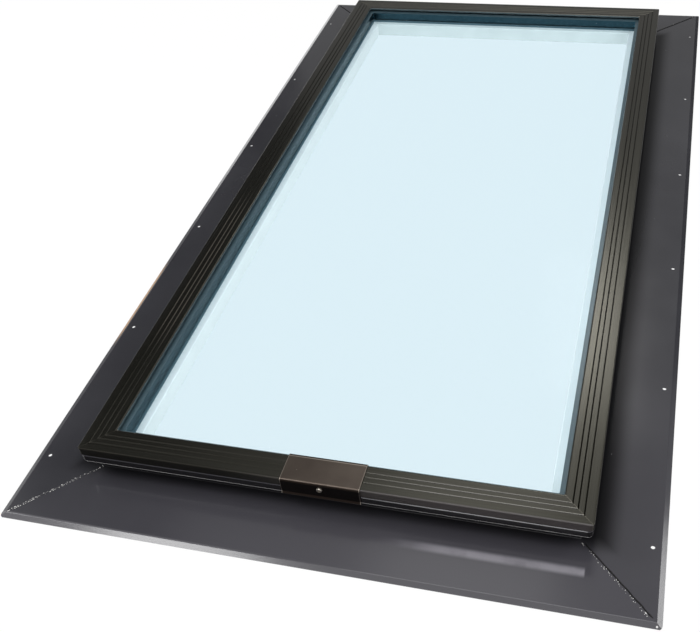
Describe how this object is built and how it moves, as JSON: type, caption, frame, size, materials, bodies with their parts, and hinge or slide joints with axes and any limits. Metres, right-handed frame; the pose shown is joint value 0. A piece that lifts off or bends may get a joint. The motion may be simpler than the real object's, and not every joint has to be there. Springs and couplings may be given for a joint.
{
  "type": "roof skylight",
  "caption": "Fixed roof skylight: sealed double glass held by a grooved bronze cap frame on a white-lined curb, with a charcoal flashing flange for nailing to the roof deck.",
  "frame": {"origin": "on the roof deck, under the middle of the glass", "axes": "+X across the slope, +Y up the slope to the head, +Z away from the deck"},
  "size_m": [0.762, 1.3716, 0.0523],
  "materials": {
    "flashing_paint": "semi-gloss charcoal paint",
    "weld_bead": "rough bead, painted over",
    "liner_plastic": "smooth white extrusion",
    "glazing_tape": "closed-cell foam",
    "gasket_rubber": "matt black",
    "bronze_cap": "dark bronze, satin",
    "key_metal": "mill finish",
    "clear_glass": "clear, faintly blue",
    "spacer_metal": "dark grey",
    "edge_sealant": "matt black",
    "block_rubber": "matt black",
    "clip_paint": "dark bronze, satin",
    "screw_steel": "plain"
  },
  "bodies": {
    "root": {"clip_screw": "screw_steel", "edge_seal": "edge_sealant", "head_cap": "bronze_cap", "head_flashing": "flashing_paint", "head_gasket": "gasket_rubber", "head_left_key": "key_metal", "head_left_weld": "weld_bead", "head_liner": "liner_plastic", "head_right_key": "key_metal", "head_right_weld": "weld_bead", "head_tape": "glazing_tape", "inner_pane": "clear_glass", "left_block": "block_rubber", "left_cap": "bronze_cap", "left_flashing": "flashing_paint", "left_gasket": "gasket_rubber", "left_liner": "liner_plastic", "left_tape": "glazing_tape", "outer_pane": "clear_glass", "right_block": "block_rubber", "right_cap": "bronze_cap", "right_flashing": "flashing_paint", "right_gasket": "gasket_rubber", "right_liner": "liner_plastic", "right_tape": "glazing_tape", "sill_cap": "bronze_cap", "sill_clip": "clip_paint", "sill_flashing": "flashing_paint", "sill_gasket": "gasket_rubber", "sill_left_key": "key_metal", "sill_left_weld": "weld_bead", "sill_liner": "liner_plastic", "sill_right_key": "key_metal", "sill_right_weld": "weld_bead", "sill_tape": "glazing_tape", "spacer_frame": "spacer_metal"}
  },
  "joints": []
}
